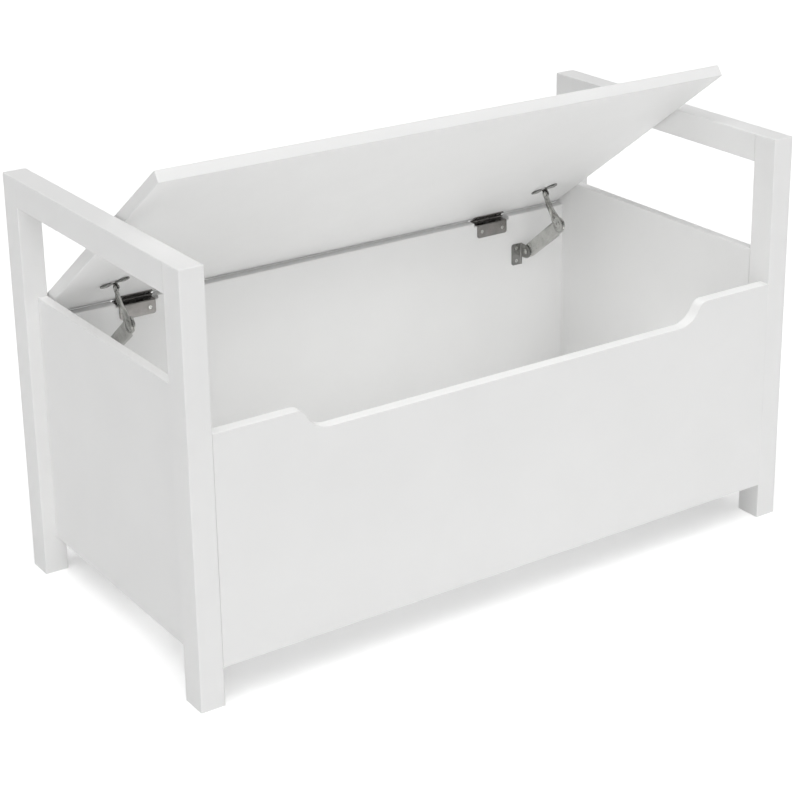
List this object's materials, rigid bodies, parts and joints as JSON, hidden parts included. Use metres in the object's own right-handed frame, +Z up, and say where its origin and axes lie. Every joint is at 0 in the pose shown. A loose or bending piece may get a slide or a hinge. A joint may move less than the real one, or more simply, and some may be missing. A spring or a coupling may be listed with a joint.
{
  "type": "storage bench",
  "caption": "White lacquered storage bench with arm rails on square legs, a scooped front panel and a hinged seat lid held open by folding lid stays.",
  "frame": {"origin": "on the floor, in the middle of the four legs", "axes": "+X along the bench to the right of someone facing the front panel, -Y out of the front panel, +Z up; at rest the lid is 36.6 degrees open"},
  "size_m": [1, 0.5161, 0.687],
  "materials": {
    "white_lacquer": "satin white lacquer on smooth board and solid wood",
    "beech_dowel": "plain beech, glued in",
    "hinge_nickel": "nickel-plated pressed steel",
    "stay_zinc": "bright zinc-plated pressed steel",
    "screw_steel": "zinc-plated screw"
  },
  "bodies": {
    "bench": {"front_left_leg": "white_lacquer", "rear_left_leg": "white_lacquer", "front_right_leg": "white_lacquer", "rear_right_leg": "white_lacquer", "left_arm_rail": "white_lacquer", "right_arm_rail": "white_lacquer", "left_side_panel": "white_lacquer", "right_side_panel": "white_lacquer", "front_panel": "white_lacquer", "back_panel": "white_lacquer", "bottom_panel": "white_lacquer", "front_bottom_cleat": "white_lacquer", "rear_bottom_cleat": "white_lacquer", "left_bottom_cleat": "white_lacquer", "right_bottom_cleat": "white_lacquer", "arm_dowels": "beech_dowel", "side_panel_dowels": "beech_dowel", "front_panel_dowels": "beech_dowel", "back_panel_dowels": "beech_dowel", "hinge_frame_screws": "screw_steel", "stay_bracket_screws": "screw_steel", "stay_foot_rivets": "stay_zinc", "left_hinge_frame_leaf": "hinge_nickel", "right_hinge_frame_leaf": "hinge_nickel", "left_hinge_pin": "hinge_nickel", "right_hinge_pin": "hinge_nickel", "left_stay_bracket": "stay_zinc", "right_stay_bracket": "stay_zinc"},
    "lid": {"seat_lid": "white_lacquer", "hinge_lid_screws": "screw_steel", "stay_lid_screws": "screw_steel", "stay_eye_rivets": "stay_zinc", "left_hinge_lid_leaf": "hinge_nickel", "right_hinge_lid_leaf": "hinge_nickel", "left_stay_lid_plate": "stay_zinc", "right_stay_lid_plate": "stay_zinc"},
    "left_lower_arm": {"left_stay_lower_arm": "stay_zinc"},
    "left_upper_arm": {"left_stay_upper_arm": "stay_zinc", "left_stay_knee_rivet": "stay_zinc"},
    "right_lower_arm": {"right_stay_lower_arm": "stay_zinc"},
    "right_upper_arm": {"right_stay_upper_arm": "stay_zinc", "right_stay_knee_rivet": "stay_zinc"}
  },
  "joints": [
    {"name": "lid_hinge", "type": "hinge", "parent": "bench", "child": "lid", "pos_m": [0, 0.25, 0.378], "axis": [-1, 0, 0], "range_deg": [-36.6, 35.4]},
    {"name": "left_stay_foot", "type": "hinge", "parent": "bench", "child": "left_lower_arm", "pos_m": [-0.38, 0.22, 0.3188], "axis": [-1, 0, 0], "range_deg": [-32.5, 31.5]},
    {"name": "left_stay_eye", "type": "hinge", "parent": "lid", "child": "left_upper_arm", "pos_m": [-0.38, 0.16967, 0.43018], "axis": [-1, 0, 0], "range_deg": [-41.3, 42.7]},
    {"name": "right_stay_foot", "type": "hinge", "parent": "bench", "child": "right_lower_arm", "pos_m": [0.38, 0.22, 0.3188], "axis": [-1, 0, 0], "range_deg": [-32.5, 31.5]},
    {"name": "right_stay_eye", "type": "hinge", "parent": "lid", "child": "right_upper_arm", "pos_m": [0.38, 0.16967, 0.43018], "axis": [-1, 0, 0], "range_deg": [-41.3, 42.7]}
  ],
  "couplings": [
    {"joint": "left_stay_foot", "follows": "lid_hinge", "ratio": 0.882},
    {"joint": "left_stay_eye", "follows": "lid_hinge", "ratio": -1.16},
    {"joint": "right_stay_foot", "follows": "lid_hinge", "ratio": 0.882},
    {"joint": "right_stay_eye", "follows": "lid_hinge", "ratio": -1.16}
  ]
}
